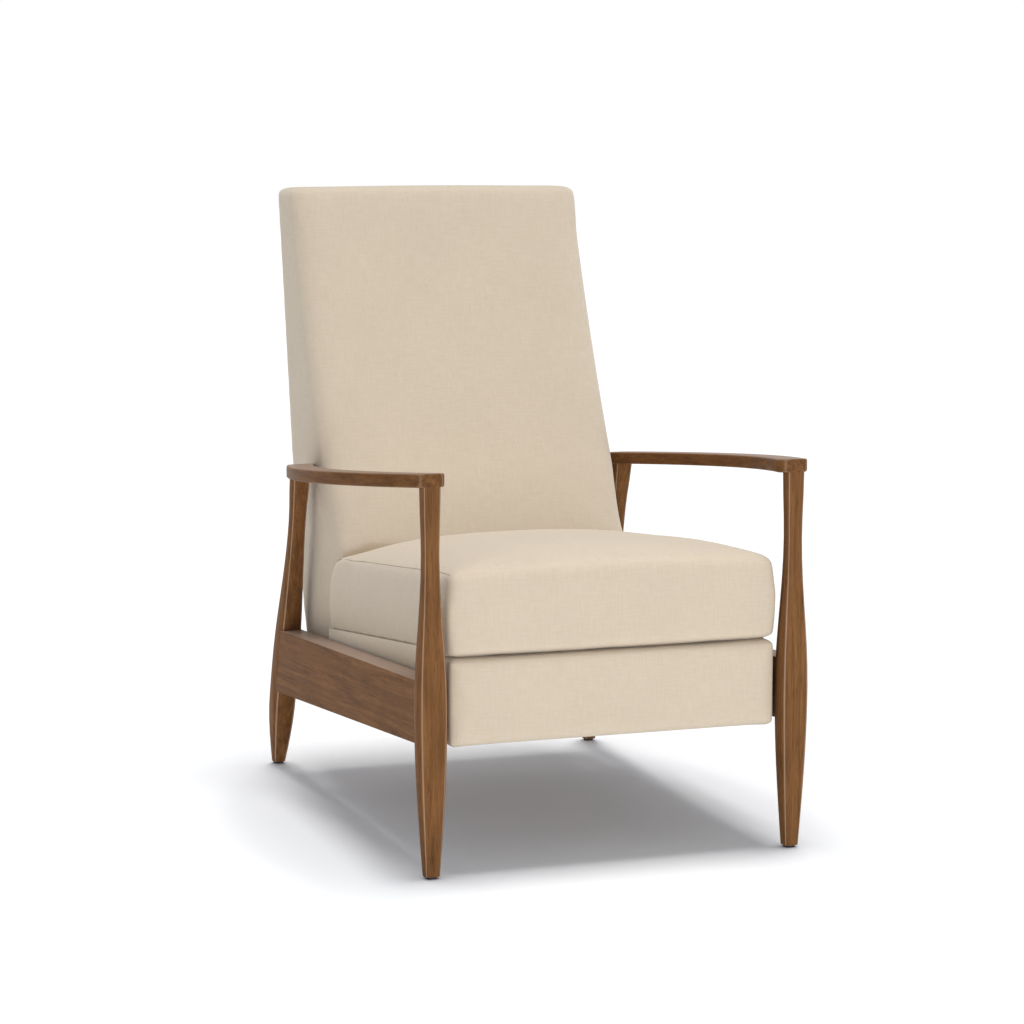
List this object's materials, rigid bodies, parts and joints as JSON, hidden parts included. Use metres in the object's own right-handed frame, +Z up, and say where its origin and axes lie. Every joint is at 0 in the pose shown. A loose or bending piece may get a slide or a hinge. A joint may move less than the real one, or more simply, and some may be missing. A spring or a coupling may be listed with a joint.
{
  "type": "push-back recliner",
  "caption": "Push-back recliner with a bowed-arm walnut frame, a boxed seat cushion, a leaning padded back and a fold-out footrest on flat steel linkages",
  "frame": {"origin": "middle of the chair's footprint, on the floor, with the back upright and the footrest closed", "axes": "+Z up, the chair faces -Y, +X is the sitter's left"},
  "size_m": [0.7566, 0.9928, 1.032],
  "materials": {
    "walnut": "satin oiled walnut",
    "beech": "planed, unfinished",
    "linen": "fine plain linen weave over foam",
    "webbing": "woven elastic webbing",
    "black_steel": "black powder coat",
    "zinc": "zinc plated",
    "glide": "moulded nylon"
  },
  "bodies": {
    "frame": {"front_leg_left": "walnut", "front_leg_right": "walnut", "rear_leg_left": "walnut", "rear_leg_right": "walnut", "side_rail_left": "walnut", "side_rail_right": "walnut", "arm_left": "walnut", "arm_right": "walnut", "front_stretcher": "beech", "rear_stretcher": "beech", "joint_dowels": "beech", "leg_glides": "glide", "base_plate_left": "black_steel", "base_plate_right": "black_steel", "stretcher_brackets": "black_steel", "frame_screws": "zinc", "base_pivots": "zinc"},
    "front_swing": {"front_swing_left": "black_steel", "front_swing_right": "black_steel"},
    "rear_swing": {"rear_swing_left": "black_steel", "rear_swing_right": "black_steel"},
    "back_link": {"back_link_left": "black_steel", "back_link_right": "black_steel"},
    "seat": {"seat_plate_left": "black_steel", "seat_plate_right": "black_steel", "seat_side_left": "beech", "seat_side_right": "beech", "seat_front_rail": "beech", "seat_rear_rail": "beech", "seat_webbing": "webbing", "seat_side_panels": "linen", "seat_cushion": "linen", "seat_pivots": "zinc", "seat_screws": "zinc"},
    "back": {"back_stile_left": "beech", "back_stile_right": "beech", "back_top_rail": "beech", "back_bottom_rail": "beech", "back_webbing": "webbing", "back_bracket_left": "black_steel", "back_bracket_right": "black_steel", "back_cushion": "linen", "outside_back": "linen", "back_pivots": "zinc", "back_screws": "zinc"},
    "lift_arm": {"lift_arm_left": "black_steel", "lift_arm_right": "black_steel"},
    "guide_arm": {"guide_arm_left": "black_steel", "guide_arm_right": "black_steel"},
    "thrust_arm": {"thrust_arm_left": "black_steel", "thrust_arm_right": "black_steel", "thrust_pivots": "zinc"},
    "drive_rod": {"drive_rod_left": "black_steel", "drive_rod_right": "black_steel"},
    "footrest": {"footrest_bracket_left": "black_steel", "footrest_bracket_right": "black_steel", "footrest_board": "beech", "footrest_pad": "linen", "footrest_screws": "zinc"}
  },
  "joints": [
    {"name": "recline", "type": "hinge", "parent": "frame", "child": "front_swing", "pos_m": [0, -0.13779, 0.19487], "axis": [1, 0, 0], "range_deg": [0, 36]},
    {"name": "rear_swing_turn", "type": "hinge", "parent": "frame", "child": "rear_swing", "pos_m": [0, 0.09221, 0.1671], "axis": [1, 0, 0], "range_deg": [0, 36]},
    {"name": "seat_carry", "type": "hinge", "parent": "front_swing", "child": "seat", "pos_m": [0, -0.10689, 0.28997], "axis": [1, 0, 0], "range_deg": [-36, 0]},
    {"name": "back_tilt", "type": "hinge", "parent": "seat", "child": "back", "pos_m": [0, 0.22011, 0.26986], "axis": [1, 0, 0], "range_deg": [-30, 0]},
    {"name": "back_link_turn", "type": "hinge", "parent": "frame", "child": "back_link", "pos_m": [0, 0.14891, 0.22426], "axis": [1, 0, 0], "range_deg": [0, 41.4]},
    {"name": "footrest", "type": "hinge", "parent": "seat", "child": "lift_arm", "pos_m": [0, -0.29889, 0.31081], "axis": [-1, 0, 0], "range_deg": [0, 100]},
    {"name": "guide_turn", "type": "hinge", "parent": "seat", "child": "guide_arm", "pos_m": [0, -0.24089, 0.30281], "axis": [-1, 0, 0], "range_deg": [0, 100]},
    {"name": "thrust_turn", "type": "hinge", "parent": "lift_arm", "child": "thrust_arm", "pos_m": [0, -0.17161, 0.18353], "axis": [-1, 0, 0], "range_deg": [-100, 0]},
    {"name": "drive_turn", "type": "hinge", "parent": "lift_arm", "child": "drive_rod", "pos_m": [0, -0.15073, 0.16722], "axis": [-1, 0, 0], "range_deg": [-100.66, 0]},
    {"name": "board_turn", "type": "hinge", "parent": "thrust_arm", "child": "footrest", "pos_m": [0, -0.40889, 0.304], "axis": [-1, 0, 0], "range_deg": [0, 90]}
  ],
  "couplings": [
    {"joint": "rear_swing_turn", "follows": "recline", "ratio": 1},
    {"joint": "seat_carry", "follows": "recline", "ratio": -1},
    {"joint": "back_tilt", "follows": "recline", "ratio": -0.83333},
    {"joint": "back_link_turn", "follows": "recline", "ratio": 1.15},
    {"joint": "guide_turn", "follows": "footrest", "ratio": 1},
    {"joint": "thrust_turn", "follows": "footrest", "ratio": -1},
    {"joint": "drive_turn", "follows": "footrest", "ratio": -1.0066},
    {"joint": "board_turn", "follows": "footrest", "ratio": 0.9}
  ]
}
